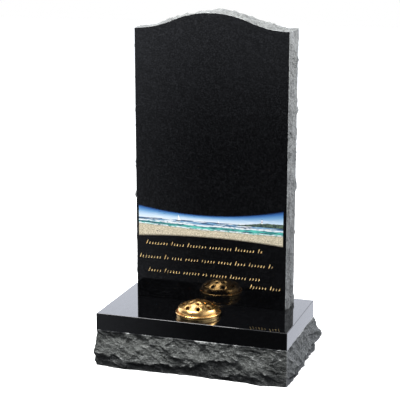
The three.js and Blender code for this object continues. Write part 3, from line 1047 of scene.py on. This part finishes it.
def flower_pot(material):
    """Pot: a straight cup of sheet metal with a flange folded down onto the stone."""
    bend = 0.004
    under = FLANGE_HEIGHT - SHEET
    profile = [(0, -POT_DEPTH)]
    profile += arc((POT_RADIUS - bend, -POT_DEPTH + bend), bend, 270, 360, 6)
    profile += [(POT_RADIUS, -0.03), (POT_RADIUS, under), (FLANGE_RADIUS - SHEET, under),
                (FLANGE_RADIUS - SHEET, 0.0003), (FLANGE_RADIUS, 0.0003)]
    profile += arc((FLANGE_RADIUS - 0.0025, FLANGE_HEIGHT - 0.0025), 0.0025, 0, 90, 6)
    profile += [(POT_RADIUS - SHEET + 0.002, FLANGE_HEIGHT), (POT_RADIUS - SHEET, FLANGE_HEIGHT - 0.002),
                (POT_RADIUS - SHEET, -0.03)]
    inner = POT_RADIUS - SHEET
    profile += arc((inner - bend, -POT_DEPTH + SHEET + bend), bend, 360, 270, 6)
    profile += [(0, -POT_DEPTH + SHEET)]
    return spun("flower_pot_metal", profile, ROUND_SIDES, material)


def dome_and_shoulder(inset):
    """Dome and rounded shoulder of the lid, from its middle out."""
    edge = LID_SHOULDER_RADIUS - inset
    bead_inner = LID_RADIUS - LID_BEAD_STEP
    points = []
    for k in range(DOME_STEPS):
        share = k / DOME_STEPS
        rise = (LID_HEIGHT - LID_SHOULDER_HEIGHT) * (1 - share ** 2)
        points.append((edge * share, LID_SHOULDER_HEIGHT + rise - inset))
    for k in range(13):
        angle = math.radians(90 - 90 * k / 12)
        points.append((edge + (bead_inner - LID_SHOULDER_RADIUS) * math.cos(angle),
                       LID_BEAD_TOP + (LID_SHOULDER_HEIGHT - LID_BEAD_TOP) * math.sin(angle) - inset))
    return points


def stem_hole_places():
    """Middle and radius of each stem hole."""
    for count, ring, turn, radius in STEM_HOLES:
        for k in range(count):
            angle = math.radians(turn + 360 * k / count)
            yield POT_MIDDLE.x + ring * math.cos(angle), POT_MIDDLE.y + ring * math.sin(angle), radius


def sink_round_holes(lid):
    """Presses a shallow dimple into the lid round each stem hole."""
    for vertex in lid.data.vertices:
        for x, y, radius in stem_hole_places():
            off = math.hypot(vertex.co.x - x, vertex.co.y - y) - radius
            if vertex.co.z > BASE_TOP + LID_BEAD_TOP and off < DIMPLE_REACH:
                vertex.co.z -= DIMPLE_DEPTH * math.exp(-(max(off, 0) / DIMPLE_SPREAD) ** 2)


def flower_lid(material):
    """Lid: a rim bead over the flange, a rounded shoulder and a low dome, pierced for stems."""
    bead_inner = LID_RADIUS - LID_BEAD_STEP
    roll = 0.0032
    groove_out, groove_down = 0.0007, 0.0025
    profile = dome_and_shoulder(SHEET)
    profile += [(bead_inner - SHEET, LID_SEAT), (LID_RADIUS - SHEET, LID_SEAT)]
    profile += [(LID_RADIUS - SHEET, LID_SKIRT_FOOT)]
    profile += arc((LID_RADIUS - roll, LID_BEAD_TOP - roll), roll, -60, 118, 12)
    profile += [(bead_inner + groove_out, LID_BEAD_TOP - groove_down)]
    profile += dome_and_shoulder(0)[::-1]
    lid = spun("flower_lid_metal", profile, LID_SIDES, material)
    sink_round_holes(lid)
    punch = Shell()
    for x, y, radius in stem_hole_places():
        ends = [(x, y, BASE_TOP + height) for height in (LID_SEAT + SHEET, LID_HEIGHT + SHEET)]
        rings = [[(*place, z) for place in circle(x, y, radius, HOLE_SIDES)] for _, _, z in ends]
        punch.drum(rings, *ends, 0)
    cutter = punch.piece("stem_hole_punch", [], flat=())
    cut = lid.modifiers.new("stem_holes", "BOOLEAN")
    cut.operation = "DIFFERENCE"
    cut.solver = "EXACT"
    cut.object = cutter
    round_off = lid.modifiers.new("hole_edges", "BEVEL")
    round_off.width = 0.0005
    round_off.segments = 2
    round_off.limit_method = "ANGLE"
    round_off.angle_limit = math.radians(50)
    bake_modifiers(lid)
    bpy.data.objects.remove(cutter)
    lid.data.shade_smooth()
    lid.data.set_sharp_from_angle(angle=SHARP_EDGE)
    return lid


def bake_modifiers(made):
    """Puts the result of an object's modifiers into its mesh."""
    graph = bpy.context.evaluated_depsgraph_get()
    shaped = bpy.data.meshes.new_from_object(made.evaluated_get(graph))
    made.modifiers.clear()
    made.data = shaped


def dress():
    """All the pieces, riding where the solids are."""
    groups = {"crystals": granite_crystals(), "bruise": bruised_arris(), "broken": broken_stone(),
              "spun": spun_metal(), "seascape": Seascape().group}
    sawn, gilt = sawn_granite(groups), gilding()
    # Painted shade: the base, the same granite as the tablet, is given darker rock greys and darker polished
    # flecks than the tablet.
    base = base_stone([polished_granite("polished_granite", groups, 0.0035, 0.15),
                       rock_pitched_granite("rock_pitched_base", groups, base_arris_distance,
                                            (0.023, 0.025, 0.023, 1), (0.056, 0.059, 0.055, 1),
                                            (0.44, 0.45, 0.44, 1)), sawn, gilt])
    tablet = tablet_stone([polished_granite("painted_polished_face", groups, 0.007, 1.0, painted=True),
                           rock_pitched_granite("rock_pitched_tablet", groups, tablet_arris_distance,
                                                (0.064, 0.066, 0.064, 1), (0.124, 0.127, 0.123, 1),
                                                (0.27, 0.28, 0.27, 1)), sawn, gilt])
    pot = flower_pot(pot_metal(groups))
    lid = flower_lid(gold_metal(groups))
    for piece, node, slot in ((base, "headstone_base", "granite_base"),
                              (tablet, "headstone_tablet", "granite_tablet"),
                              (pot, "flower_pot", "gold_metal"),
                              (lid, "flower_lid", "gold_metal")):
        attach(piece, "root")
        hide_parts(node)


make_camera()
light_from_around()
make_floor()
make_light("softbox", (-0.74, -0.78, 2.4), (0, -0.1, 0.2), (1.3, 0.95), 90)
make_light("overhead", (-1.1, -0.85, 4.0), (0, -0.15, 0.1), (1.1, 1.1), 230, seen_in_gloss=False)
make_light("front_left", (-1.6, -2.2, 2.2), (0, 0, 0.1), (1.0, 1.0), 12)
make_light("right_side", (1.15, 0.35, 1.2), (0.25, 0, 0.95), (0.6, 0.9), 20)
bpy.context.scene.view_settings.view_transform = "Standard"

dress()
